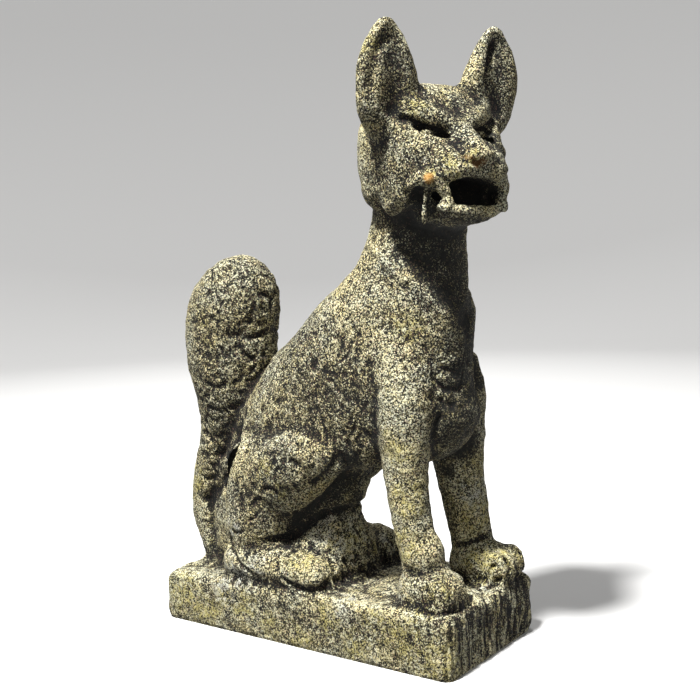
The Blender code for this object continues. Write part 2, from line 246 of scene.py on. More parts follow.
def bar(line, radii, sides=14):
    """A round-ended bar along a curve; radii are given at the line's points."""
    path = smooth_line(line, BAR_STEP)
    marks = np.linspace(0, 1, len(radii))
    size = np.interp(np.linspace(0, 1, len(path)), marks, radii)
    ends = np.linspace(0, 1, len(path))
    verts = []
    faces = []
    side = None
    for i, p in enumerate(path):
        along = (path[min(i + 1, len(path) - 1)] - path[max(i - 1, 0)]).normalized()
        side = along.orthogonal() if side is None else side - along * side.dot(along)
        side.normalize()
        other = along.cross(side)
        rounding = math.sqrt(max(0.02, 1 - abs(2 * ends[i] - 1) ** 8))
        for k in range(sides):
            angle = 2 * math.pi * k / sides
            verts.append(p + (side * math.cos(angle) + other * math.sin(angle)) * size[i] * rounding)
    for i in range(len(path) - 1):
        for k in range(sides):
            n = (k + 1) % sides
            faces.append((i * sides + k, i * sides + n, (i + 1) * sides + n, (i + 1) * sides + k))
    faces.append(tuple(range(sides))[::-1])
    faces.append(tuple(range((len(path) - 1) * sides, len(path) * sides)))
    obj = new_object("bar", verts, faces)
    face_out(obj)
    return obj


def head_bar(line, radii):
    return bar([at_head(*p) for p in line], radii)


def face_out(obj):
    shape = bmesh.new()
    shape.from_mesh(obj.data)
    bmesh.ops.recalc_face_normals(shape, faces=shape.faces)
    if shape.calc_volume(signed=True) < 0:
        bmesh.ops.reverse_faces(shape, faces=shape.faces)
    shape.to_mesh(obj.data)
    shape.free()


def settle(obj):
    """Makes the modifiers' result the object's own mesh."""
    bpy.context.view_layer.update()
    graph = bpy.context.evaluated_depsgraph_get()
    made = bpy.data.meshes.new_from_object(obj.evaluated_get(graph))
    obj.modifiers.clear()
    old = obj.data
    obj.data = made
    bpy.data.meshes.remove(old)


def cut_with(obj, cutter):
    cut = obj.modifiers.new("cut", "BOOLEAN")
    cut.operation = "DIFFERENCE"
    cut.solver = "EXACT"
    cut.object = cutter
    settle(obj)
    bpy.data.objects.remove(cutter, do_unlink=True)


def add_to(obj, others):
    shape = bmesh.new()
    shape.from_mesh(obj.data)
    for other in others:
        shape.from_mesh(other.data)
        bpy.data.objects.remove(other, do_unlink=True)
    shape.to_mesh(obj.data)
    shape.free()


def reskin(obj, voxel):
    maker = obj.modifiers.new("skin", "REMESH")
    maker.mode = "VOXEL"
    maker.voxel_size = voxel
    maker.adaptivity = 0.0
    settle(obj)


class Skin:
    """The statue's surface as arrays, for carving."""

    def __init__(self, obj):
        self.obj = obj
        mesh = obj.data
        self.points = np.empty(len(mesh.vertices) * 3, np.float32)
        mesh.vertices.foreach_get("co", self.points)
        self.points = self.points.reshape(-1, 3).astype(float)
        edges = np.empty(len(mesh.edges) * 2, np.int32)
        mesh.edges.foreach_get("vertices", edges)
        self.a, self.b = edges.reshape(-1, 2).T
        total = len(self.points)
        self.count = np.bincount(self.a, minlength=total) + np.bincount(self.b, minlength=total)
        self.count = np.maximum(self.count, 1)
        self.refresh()

    def refresh(self):
        """Writes the points to the mesh and reads its normals and its search tree."""
        mesh = self.obj.data
        mesh.vertices.foreach_set("co", self.points.astype(np.float32).ravel())
        mesh.update()
        normals = np.empty(len(mesh.vertices) * 3, np.float32)
        mesh.vertices.foreach_get("normal", normals)
        self.normals = normals.reshape(-1, 3).astype(float)
        shape = bmesh.new()
        shape.from_mesh(mesh)
        self.tree = BVHTree.FromBMesh(shape)
        shape.free()

    def mean_of_neighbours(self, values):
        values = np.asarray(values, float)
        flat = values.reshape(len(values), -1)
        total = np.empty_like(flat)
        for k in range(flat.shape[1]):
            column = flat[:, k]
            total[:, k] = np.bincount(self.a, column[self.b], len(flat))
            total[:, k] += np.bincount(self.b, column[self.a], len(flat))
        return (total / self.count[:, None]).reshape(values.shape)

    def relax(self, passes, weights=1.0):
        """Rounds the skin without shrinking it."""
        weights = np.broadcast_to(np.asarray(weights, float), (len(self.points),))[:, None]
        for step in range(passes * 2):
            pull = self.mean_of_neighbours(self.points) - self.points
            self.points += weights * pull * (0.55 if step % 2 == 0 else -0.53)

    def seen(self, pixels, step=2.5):
        """Points on the surface where the photo shows this line."""
        line = smooth_line([(x, y, 0.0) for x, y in pixels], step)
        out = []
        for p in line:
            hit = self.tree.ray_cast(CAMERA_PLACE, sight(p.x, p.y))[0]
            if hit is not None:
                out.append(hit)
        return out

    def nearest(self, line):
        return [self.tree.find_nearest(p)[0] for p in line]

    def across(self, line, head=False):
        """The same line on the fox's other side."""
        if head:
            return self.nearest([at_head(-u, f, h) for u, f, h in in_head([tuple(p) for p in line])])
        return self.nearest([Vector((-p.x, p.y, p.z)) for p in line])

    def groove(self, line, width, depth, taper=0.25):
        """Moves the skin in, or out for a negative depth, within this half width of a line."""
        if len(line) < 2:
            return
        path = np.array([tuple(p) for p in line], float)
        low = path.min(axis=0) - width
        high = path.max(axis=0) + width
        near = np.nonzero(((self.points > low) & (self.points < high)).all(axis=1))[0]
        if not len(near):
            return
        points = self.points[near]
        lengths = np.linalg.norm(np.diff(path, axis=0), axis=1)
        starts = np.concatenate([[0.0], np.cumsum(lengths)])
        best = np.full(len(points), np.inf)
        along = np.zeros(len(points))
        for i, length in enumerate(lengths):
            if length < 1e-7:
                continue
            step = path[i + 1] - path[i]
            t = np.clip((points - path[i]) @ step / length**2, 0, 1)
            gap = np.linalg.norm(points - path[i] - t[:, None] * step, axis=1)
            nearer = gap < best
            best[nearer] = gap[nearer]
            along[nearer] = (starts[i] + t[nearer] * length) / starts[-1]
        amount = ease(1 - best / width)
        amount = amount * ease(np.minimum(along, 1 - along) / taper + 0.12)
        self.points[near] -= self.normals[near] * (amount * depth)[:, None]


# Cuts and added pieces, in the head's frame unless a comment says otherwise


def turned(x=0.0, y=0.0, z=0.0):
    """A turn about the head's own axes, in degrees."""
    return (Matrix.Rotation(math.radians(z), 3, "Z") @ Matrix.Rotation(math.radians(y), 3, "Y")
            @ Matrix.Rotation(math.radians(x), 3, "X"))


def cut_form(fox):
    """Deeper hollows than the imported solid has."""
    # The open mouth
    tilt = turned(x=-3.0, y=5.0)
    cut_with(fox, head_ovoid((-0.0015, 0.0700, -0.0320), (0.0275, 0.036, 0.0125), tilt, 3.2))
    # Behind the near lip's corner, and a shallower hollow behind the far one
    cut_with(fox, head_ovoid((-0.0430, 0.0540, -0.0430), (0.0145, 0.0135, 0.0175), None, 3.0))
    cut_with(fox, head_ovoid((0.0470, 0.0480, -0.0390), (0.0080, 0.0090, 0.0110)))
    # The far eye's deeper socket
    cut_with(fox, head_ovoid((0.0270, 0.0560, 0.0095), (0.0100, 0.0080, 0.0080), turned(z=-18.0)))
    # Eye slits under the brows
    for side in (-1, 1):
        tilt = turned(y=side * -19.0, z=side * -22.0)
        cut_with(fox, head_ovoid((side * 0.0280, 0.0530, 0.0192), (0.0175, 0.0095, 0.0048), tilt, 2.4))
    # The deep crease between the near haunch and the tail, in the frame of the whole
    lean = Matrix.Rotation(math.radians(19.0), 3, "X")
    cut_with(fox, ovoid(Vector((-0.0640, 0.0945, 0.1630)), (0.0200, 0.0140, 0.0420), lean))


def added_form():
    """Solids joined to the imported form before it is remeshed."""
    made = []
    for s in (-1, 1):
        # Eyeball
        made.append(head_ovoid((s * 0.0275, 0.0470, 0.0180), (0.0080, 0.0055, 0.0042)))
        # Nose wings and whisker pads
        made.append(head_ovoid((s * 0.0095, 0.0835, -0.0040), (0.0065, 0.0065, 0.0065)))
        made.append(head_ovoid((s * 0.0190, 0.0765, -0.0105), (0.0090, 0.0085, 0.0085)))
        # Fang at the lip's end, and the fold that comes down to it
        fang = ((s * 0.0300, 0.0710, -0.0480), (s * 0.0290, 0.0735, -0.0410), (s * 0.0280, 0.0755, -0.0345))
        made.append(head_bar(fang, (0.0085, 0.0062, 0.0040)))
        fold = ((s * 0.0385, 0.0665, -0.0205), (s * 0.0335, 0.0705, -0.0270), (s * 0.0285, 0.0750, -0.0350))
        made.append(head_bar(fold, (0.0060, 0.0048, 0.0044)))
    # Nose tip
    made.append(head_ovoid((0.0, 0.0855, -0.0025), (0.0115, 0.0075, 0.0070)))
    # The far lip's two knobs
    made.append(head_ovoid((0.0315, 0.0700, -0.0230), (0.0060, 0.0055, 0.0055)))
    made.append(head_ovoid((0.0330, 0.0670, -0.0370), (0.0062, 0.0060, 0.0068)))
    # The near lip's end, and the thin pillar left standing in the hollow behind the mouth
    made.append(head_ovoid((-0.0420, 0.0665, -0.0205), (0.0062, 0.0062, 0.0062)))
    pillar = ((-0.0405, 0.0600, -0.0250), (-0.0412, 0.0590, -0.0400), (-0.0400, 0.0560, -0.0590))
    made.append(head_bar(pillar, (0.0026, 0.0017, 0.0028)))
    lower_lip = (
        (-0.031, 0.0640, -0.0485), (-0.025, 0.0735, -0.0475), (-0.012, 0.0790, -0.0480),
        (0.010, 0.0785, -0.0485), (0.024, 0.0700, -0.0475), (0.034, 0.0560, -0.0450),
    )
    made.append(head_bar(lower_lip, (0.0056, 0.0062, 0.0056, 0.0048, 0.0050, 0.0055)))
    return made


# Carved lines, as the photo shows them: pixels of the photo, half width and depth in metres, and whether they
# are mirrored onto the fox's other side, across the body or across the head. A negative depth is a ridge.

CREASES = {
    # Head
    "near ear valley": (((386, 30), (377, 52), (371, 80), (370, 98)), 0.0100, 0.0034, False),
    "far ear valley": (((494, 38), (489, 66), (486, 90)), 0.0065, 0.0050, False),
    "eye slit": (((402, 115), (414, 121), (428, 127), (445, 131)), 0.0032, 0.0022, "head"),
    "cheek under eye": (((408, 136), (420, 146), (436, 150)), 0.0060, 0.0010, "head"),
    "nostril": (((471, 160), (477, 163), (483, 164)), 0.0042, 0.0036, False),
    "cheek ridge": (((422, 170), (414, 182), (408, 194), (402, 206)), 0.0050, -0.0022, "head"),
    "under lip": (((440, 211), (455, 216), (473, 218), (490, 214)), 0.0050, 0.0034, False),
    # Chest and shoulder
    "shoulder edge": (
        ((366, 238), (380, 255), (399, 274), (420, 292), (440, 312), (456, 342)), 0.0070, -0.0020, True,
    ),
    "chest plane": (((386, 236), (414, 262), (436, 284), (458, 306), (472, 336)), 0.0160, 0.0032, True),
    "shoulder fold": (((377, 335), (372, 356), (370, 380), (374, 402)), 0.0110, 0.0014, True),
    "elbow": (((428, 404), (434, 388), (430, 370)), 0.0080, 0.0014, True),
    "chest tuft 1": (((440, 366), (450, 372), (462, 372)), 0.0070, 0.0014, False),
    "chest tuft 2": (((437, 380), (448, 388), (466, 386)), 0.0070, 0.0016, False),
    "chest tuft 3": (((436, 396), (446, 405), (460, 402)), 0.0070, 0.0014, False),
    "arm pit": (((442, 412), (436, 424), (432, 440)), 0.0050, 0.0022, True),
    # Belly and thigh
    "thigh top": (((251, 452), (268, 436), (290, 428), (313, 436), (330, 452)), 0.0085, 0.0020, True),
    "knee crease": (((339, 452), (333, 466), (322, 478), (308, 486)), 0.0070, 0.0050, True),
    "thigh pit": (((288, 459), (294, 462), (299, 468)), 0.0050, 0.0030, True),
    "thigh curl 1": (((262, 490), (270, 488), (279, 494)), 0.0038, 0.0024, True),
    "thigh curl 2": (((252, 507), (256, 500), (262, 497)), 0.0036, 0.0020, True),
    "thigh curl 3": (((248, 521), (254, 518), (259, 512)), 0.0034, 0.0018, True),
    "thigh curl 4": (((231, 530), (238, 533), (246, 529)), 0.0036, 0.0020, True),
    # Hind foot
    "heel": (((228, 529), (232, 548), (241, 565), (257, 577)), 0.0042, 0.0034, True),
    "foot top": (((262, 540), (285, 537), (306, 532)), 0.0055, 0.0040, True),
    "hind paw edge": (((278, 574), (289, 583), (306, 590), (322, 587), (330, 575)), 0.0050, 0.0036, True),
    "mound top": (((302, 531), (318, 517), (334, 511), (356, 508), (366, 516)), 0.0065, 0.0040, True),
    "hind claw 1": (((329, 560), (333, 566), (335, 573)), 0.0030, 0.0024, True),
    "hind claw 2": (((342, 557), (347, 564), (350, 572)), 0.0030, 0.0024, True),
    "paw back": (((279, 552), (276, 562), (279, 574)), 0.0045, 0.0016, True),
    # Forepaws
    "near paw cleft 1": (((447, 580), (450, 592), (451, 604)), 0.0036, 0.0020, True),
    "near paw cleft 2": (((465, 580), (469, 592), (471, 607)), 0.0040, 0.0042, True),
    "near paw sole": (((416, 607), (430, 613), (448, 613), (464, 609)), 0.0030, 0.0028, True),
    "near paw cleft 3": (((428, 586), (430, 598), (431, 607)), 0.0034, 0.0014, True),
    "near ankle": (((401, 566), (415, 574), (431, 571), (443, 561)), 0.0070, 0.0014, True),
    "far ankle": (((453, 546), (470, 542), (490, 534)), 0.0050, 0.0026, False),
    "far paw cleft": (((514, 562), (518, 572), (519, 582)), 0.0032, 0.0014, False),
    # Tail
    "tail swirl 1": (((221, 337), (236, 334), (250, 337), (273, 328)), 0.0066, 0.0021, True),
    "tail swirl 2": (((201, 300), (212, 292), (226, 292), (238, 300)), 0.0055, 0.0014, True),
    "tail swirl 3": (((214, 274), (228, 268), (244, 270), (258, 280)), 0.0055, 0.0012, True),
    "tail swirl 4": (((246, 296), (254, 306), (253, 318), (244, 324)), 0.0053, 0.0014, True),
    "tail swirl 5": (((198, 326), (206, 318), (216, 320), (219, 330)), 0.0051, 0.0014, True),
    "tail swirl 6": (((262, 288), (270, 300), (272, 314)), 0.0051, 0.0012, True),
    "tail stroke 1": (((196, 352), (212, 358), (228, 354), (243, 346)), 0.0055, 0.0015, True),
    "tail stroke 2": (((199, 378), (213, 386), (230, 384), (248, 374)), 0.0055, 0.0015, True),
    "tail stroke 3": (((203, 402), (216, 410), (232, 408), (246, 398)), 0.0055, 0.0014, True),
    "tail stroke 4": (((238, 350), (252, 358), (266, 352)), 0.0051, 0.0012, True),
    "tail ripple 1": (((203, 432), (216, 436), (232, 432)), 0.0050, 0.0012, True),
    "tail ripple 2": (((200, 452), (212, 456), (226, 452)), 0.0050, 0.0012, True),
    "tail ripple 3": (((197, 474), (208, 478), (221, 474)), 0.0050, 0.0012, True),
    "tail ripple 4": (((197, 496), (208, 500), (219, 497)), 0.0046, 0.0011, True),
    "tail side": (((246, 405), (237, 436), (228, 462), (219, 486), (207, 507)), 0.0120, 0.0050, False),
    "tail edge": (((248, 404), (240, 435), (231, 463), (223, 486), (210, 506)), 0.0050, 0.0024, False),
}


def carve(skin):
    for line, width, depth, mirrored in CREASES.values():
        there = skin.seen(line)
        skin.groove(there, width, depth)
        if mirrored:
            skin.groove(skin.across(there, head=mirrored == "head"), width, depth)


# Where the coat is carved as rough tufts: pixels of the photo and a radius in metres

COAT = (
    ((235, 300), 0.050), ((232, 350), 0.045), ((225, 400), 0.040), ((216, 455), 0.032), ((208, 500), 0.022),
    ((310, 370), 0.034), ((335, 410), 0.040), ((350, 460), 0.034), ((340, 350), 0.028), ((285, 420), 0.030),
    ((290, 470), 0.034), ((250, 500), 0.026), ((452, 385), 0.026),
    ((310, 545), 0.024), ((360, 545), 0.024),
)

# Smooth scoops of the ears: pixels of the photo and a radius in metres
EAR_SCOOPS = (((380, 60), 0.018), ((378, 85), 0.016), ((495, 60), 0.014), ((495, 80), 0.014))

# Other faces that are worn smoother than the rest
WORN = (((503, 560), 0.020), ((488, 556), 0.014), ((435, 570), 0.012))


def near_spots(skin, spots):
    """1 within each spot's radius, fading outside it, here and on the fox's other side."""
    amount = np.zeros(len(skin.points))
    for (x, y), radius in spots:
        spot = skin.tree.ray_cast(CAMERA_PLACE, sight(x, y))[0]
        if spot is None:
            continue
        for middle in (spot, Vector((-spot.x, spot.y, spot.z))):
            gap = np.linalg.norm(skin.points - np.array(middle), axis=1)
            amount = np.maximum(amount, ease(1.5 - gap / radius))
    return amount


def under(skin, height, fade):
    """1 below this height less the fade, 0 above it."""
    return ease((height - skin.points[:, 2]) / fade)


def facing_front(skin):
    """1 on faces that look towards -Y, 0 on those that look elsewhere."""
    return ease((-0.9 * skin.normals[:, 1] - 0.35) / 0.3)


def weather(skin):
    """Rough coat, pits, chisel marks and worn edges."""
    p = skin.points
    slab = under(skin, 0.066, 0.008)
    coat = near_spots(skin, COAT)
    bend = np.stack([noise(p, 0.022, seed) for seed in (70, 71, 72)], axis=1) * 0.010
    tuft = (p + bend) * np.array([1.0, 1.0, 0.62])
    ridges = 1 - np.abs(layers(tuft, 0.0125, 2, 4)) * 2.4
    rough = 0.0008 * layers(p, 0.030, 2, 1) + 0.0006 * layers(p, 0.010, 2, 2)
    rough = rough + coat * COAT_DEPTH * (np.clip(ridges, -1, 1) - 0.35)
    gap, own = cells(p, 0.0075, 3)
    pits = np.where(own < 0.45, ease(1 - gap / 0.55), 0.0)
    rough = rough - PIT_DEPTH * pits * (1 - 0.5 * slab)
    # Upright chisel marks on the slab's front, faint ones on its sides
    comb = 0.4 - ease(1 - 2.6 * np.abs(noise(p * np.array([1.0, 1.0, 0.14]), 0.0085, 21)))
    comb = comb + 0.5 * noise(p * np.array([1.0, 1.0, 0.2]), 0.0030, 22)
    faces = facing_front(skin) + 0.35 * ease((np.abs(skin.normals[:, 0]) - 0.5) / 0.3)
    rough = rough + slab * faces * CHISEL_DEPTH * comb
    # Worn slab edges
    edge_noise = 0.5 + 0.5 * noise(p, 0.018, 9)
    rough = rough - slab * EDGE_WEAR * edge_noise
    # The underside stays as it is, and ears, worn faces and head are calmer
    lifted = ease((p[:, 2] - 0.001) / 0.004)
    calm = 1 - 0.65 * near_spots(skin, EAR_SCOOPS + WORN)
    calm = calm * (1 - 0.4 * ease((p[:, 2] - 0.40) / 0.03))
    skin.points += skin.normals * (rough * lifted * calm)[:, None]


def flatten_underside(skin):
    skin.points[:, 2] = np.maximum(skin.points[:, 2], 0.0)
    skin.points[skin.points[:, 2] < GROUND_REACH, 2] = 0.0


def thin_out(obj, faces):
    fewer = obj.modifiers.new("fewer", "DECIMATE")
    fewer.decimate_type = "COLLAPSE"
    obj.data.calc_loop_triangles()
    fewer.ratio = faces / len(obj.data.loop_triangles)
    fewer.use_collapse_triangulate = True
    settle(obj)


def make_fox():
    fox = bpy.data.objects.new("carved_fox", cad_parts["fox_statue"].data.copy())
    bpy.context.scene.collection.objects.link(fox)
    fox.data.materials.clear()
    weld(fox)
    cut_form(fox)
    add_to(fox, added_form())
    reskin(fox, VOXEL)
    skin = Skin(fox)
    skin.relax(SKIN_ROUNDS)
    skin.refresh()
    skin.relax(EAR_ROUNDS, near_spots(skin, EAR_SCOOPS))
    skin.refresh()
    carve(skin)
    skin.refresh()
    weather(skin)
    flatten_underside(skin)
    skin.refresh()
    thin_out(fox, MOST_FACES)
    return fox


def weld(obj):
    shape = bmesh.new()
    shape.from_mesh(obj.data)
    bmesh.ops.remove_doubles(shape, verts=shape.verts, dist=WELD_REACH)
    shape.to_mesh(obj.data)
    shape.free()


# Where things grow on the stone, and where shade and some light are painted: pixels of the photo and a radius
# in metres

# Yellow lichen; the spots on the far foreleg and paw and on the mound between the hind feet also paint light
# onto shaded parts
YELLOW_LICHEN_AND_LIGHT = (
    ((184, 598), 0.030), ((350, 540), 0.012), ((376, 548), 0.010), ((482, 580), 0.012), ((270, 625), 0.016),
    ((300, 640), 0.016), ((355, 650), 0.018), ((420, 615), 0.014), ((222, 598), 0.014), ((520, 556), 0.012),
    ((205, 612), 0.024), ((405, 640), 0.026), ((436, 662), 0.028), ((380, 628), 0.018),
    ((482, 560), 0.026), ((505, 556), 0.018), ((480, 515), 0.022), ((478, 470), 0.020), ((408, 500), 0.022),
    ((402, 545), 0.020), ((398, 455), 0.016),
    ((190, 450), 0.020), ((196, 480), 0.016), ((281, 492), 0.014), ((264, 470), 0.012), ((361, 534), 0.016),
    ((455, 165), 0.016), ((470, 160), 0.012), ((415, 104), 0.016), ((431, 176), 0.010), ((300, 560), 0.016),
    ((438, 588), 0.016), ((410, 330), 0.014), ((245, 610), 0.018), ((330, 620), 0.018), ((370, 40), 0.012),
)
# Pale lichen; the spots on the far foreleg and on the mound between the hind feet also paint light onto
# shaded parts
PALE_LICHEN_AND_LIGHT = (
    ((236, 574), 0.026), ((222, 590), 0.020), ((254, 566), 0.014),
    ((330, 530), 0.022), ((352, 520), 0.016), ((455, 560), 0.010), ((420, 160), 0.008),
    ((400, 590), 0.014), ((232, 530), 0.016), ((350, 600), 0.020), ((478, 490), 0.024),
    ((345, 526), 0.012), ((366, 537), 0.014), ((338, 545), 0.014), ((386, 545), 0.014), ((355, 556), 0.014),
    ((478, 577), 0.010), ((490, 590), 0.010),
)
ORANGE_LICHEN = (((430, 179), 0.0055),)
RUST = (((477, 162), 0.0065), ((468, 158), 0.004))
# Darker patches: darker stone on tail, back, haunch, head and ears, and painted shade on belly, neck, chest
# and far face
DARK_STONE_AND_SHADE_SPOTS = (
    ((235, 300), 0.055), ((228, 350), 0.055), ((222, 410), 0.045), ((214, 470), 0.035), ((300, 345), 0.045),
    ((335, 400), 0.045), ((345, 450), 0.040), ((385, 165), 0.030), ((378, 195), 0.024), ((383, 60), 0.034),
    ((420, 145), 0.034), ((450, 150), 0.030), ((430, 110), 0.026), ((465, 100), 0.026), ((440, 590), 0.022),
    ((376, 100), 0.024), ((505, 70), 0.030), ((270, 470), 0.030), ((245, 510), 0.024),
    ((425, 240), 0.030), ((445, 280), 0.030), ((462, 325), 0.030), ((466, 370), 0.026), ((502, 150), 0.020),
)
# Painted shade: the blackest darkening, where head, knee and haunch cast shadow on neck, chest, face and
# recesses
PAINTED_SHADE_SPOTS = (
    ((300, 522), 0.013), ((316, 512), 0.015), ((330, 497), 0.018), ((345, 485), 0.020), ((356, 500), 0.014),
    ((350, 462), 0.014), ((342, 508), 0.012), ((246, 412), 0.007), ((241, 430), 0.009), ((234, 452), 0.011),
    ((226, 476), 0.010), ((214, 500), 0.007), ((400, 228), 0.014), ((425, 228), 0.024), ((452, 232), 0.024),
    ((430, 255), 0.022), ((456, 265), 0.026), ((450, 290), 0.022), ((464, 310), 0.024), ((470, 345), 0.020),
    ((462, 375), 0.016), ((452, 398), 0.014), ((448, 425), 0.014), ((444, 217), 0.010), ((458, 220), 0.010),
    ((472, 222), 0.010), ((486, 220), 0.010), ((418, 200), 0.011), ((432, 208), 0.009), ((500, 150), 0.014),
    ((493, 136), 0.009), ((504, 166), 0.009),
    ((466, 415), 0.018), ((470, 440), 0.014), ((478, 400), 0.014), ((476, 370), 0.016),
    ((458, 425), 0.024), ((462, 448), 0.018), ((472, 395), 0.020), ((446, 412), 0.014), ((446, 438), 0.014),
    ((452, 453), 0.014), ((470, 428), 0.016), ((470, 446), 0.012), ((479, 415), 0.014), ((460, 408), 0.016),
    ((440, 456), 0.010), ((456, 440), 0.016), ((480, 380), 0.014), ((440, 425), 0.010),
    ((500, 192), 0.006), ((448, 470), 0.010), ((446, 520), 0.008), ((470, 595), 0.006),
)


def growth(skin, spots, seed):
    """How strongly a growth covers each point, in ragged patches round its spots."""
    bend = np.stack([noise(skin.points, 0.012, seed + k) for k in range(3)], axis=1) * 0.006
    bent = skin.points + bend
    amount = np.zeros(len(bent))
    for (x, y), radius in spots:
        spot = skin.tree.ray_cast(CAMERA_PLACE, sight(x, y))[0]
        if spot is not None:
            gap = np.linalg.norm(bent - np.array(spot), axis=1)
            amount = np.maximum(amount, ease(1.25 - gap / radius))
    return amount


def hollows(skin):
    """From 0 on open faces to 1 in narrow hollows, and the same for raised edges."""
    smooth = skin.points.copy()
    found = np.zeros(len(smooth))
    for count, size in HOLLOW_SCALES:
        for _ in range(count):
            smooth = smooth + 0.9 * (skin.mean_of_neighbours(smooth) - smooth)
        rise = ((smooth - skin.points) * skin.normals).sum(axis=1) / size
        found = found + np.clip(rise, -1.2, 1.6)
    return np.clip(found / 2.2, 0, 1), np.clip(-found / 2.2, 0, 1)


def closed_in(skin):
    """From 0 in the open to 1 where the stone round about hides most of the sky."""
    hidden = np.zeros(len(skin.points))
    ways = []
    for k in range(SKY_WAYS):
        height = 1 - (k + 0.5) / SKY_WAYS
        angle = k * SKY_TURN
        flat = math.sqrt(1 - height * height)
        ways.append(Vector((flat * math.cos(angle), flat * math.sin(angle), height)))
    for i, (point, normal) in enumerate(zip(skin.points, skin.normals)):
        outward = Vector(normal)
        turn = outward.to_track_quat("Z", "Y")
        start = Vector(point) + outward * SKY_START
        hits = 0
        for way in ways:
            if skin.tree.ray_cast(start, turn @ way, SKY_REACH)[0] is not None:
                hits += 1
        hidden[i] = hits / SKY_WAYS
    return skin.mean_of_neighbours(skin.mean_of_neighbours(hidden))


def store(obj, name, values):
    layer = obj.data.attributes.new(name, "FLOAT", "POINT")
    layer.data.foreach_set("value", np.asarray(values, np.float32))


def mark(fox):
    """Keeps on the mesh where the stone is dirty, worn and overgrown, and where shade and light are painted.
    """
    skin = Skin(fox)
    hollow, edge = hollows(skin)
    # Hollows, darkened in the paint: partly dirt, partly painted shade
    store(fox, "hollow", hollow * (1 - 0.6 * near_spots(skin, EAR_SCOOPS)))
    store(fox, "edge", edge)
    pale = growth(skin, PALE_LICHEN_AND_LIGHT, 50)
    at_slab = under(skin, 0.075, 0.012)
    facing = facing_front(skin) * ease((-0.140 - skin.points[:, 1]) / 0.010)
    store(fox, "slab", at_slab)
    # Painted light: the slab's upward faces, made lighter in the paint
    store(fox, "slab_top_light", at_slab * ease((skin.normals[:, 2] - 0.6) / 0.3))
    # Painted light and shade of raking light on the chisel marks of the slab's front
    store(fox, "chisel_light_and_shade", under(skin, 0.064, 0.006) * skin.mean_of_neighbours(facing))
    # Dirt and painted shade where the stone round about hides the sky
    store(fox, "closed_in", closed_in(skin) * (1 - 0.35 * at_slab) * (1 - 0.5 * pale))
    store(fox, "yellow", growth(skin, YELLOW_LICHEN_AND_LIGHT, 40))
    store(fox, "pale", pale)
    # Darker stone, and painted shade on belly, neck, chest and far face
    store(fox, "dark_stone_and_shade", near_spots(skin, DARK_STONE_AND_SHADE_SPOTS))
    # Painted shade in the places listed above
    store(fox, "painted_shade", growth(skin, PAINTED_SHADE_SPOTS, 64))
    store(fox, "orange", growth(skin, ORANGE_LICHEN, 60))
    store(fox, "rust", growth(skin, RUST, 62))


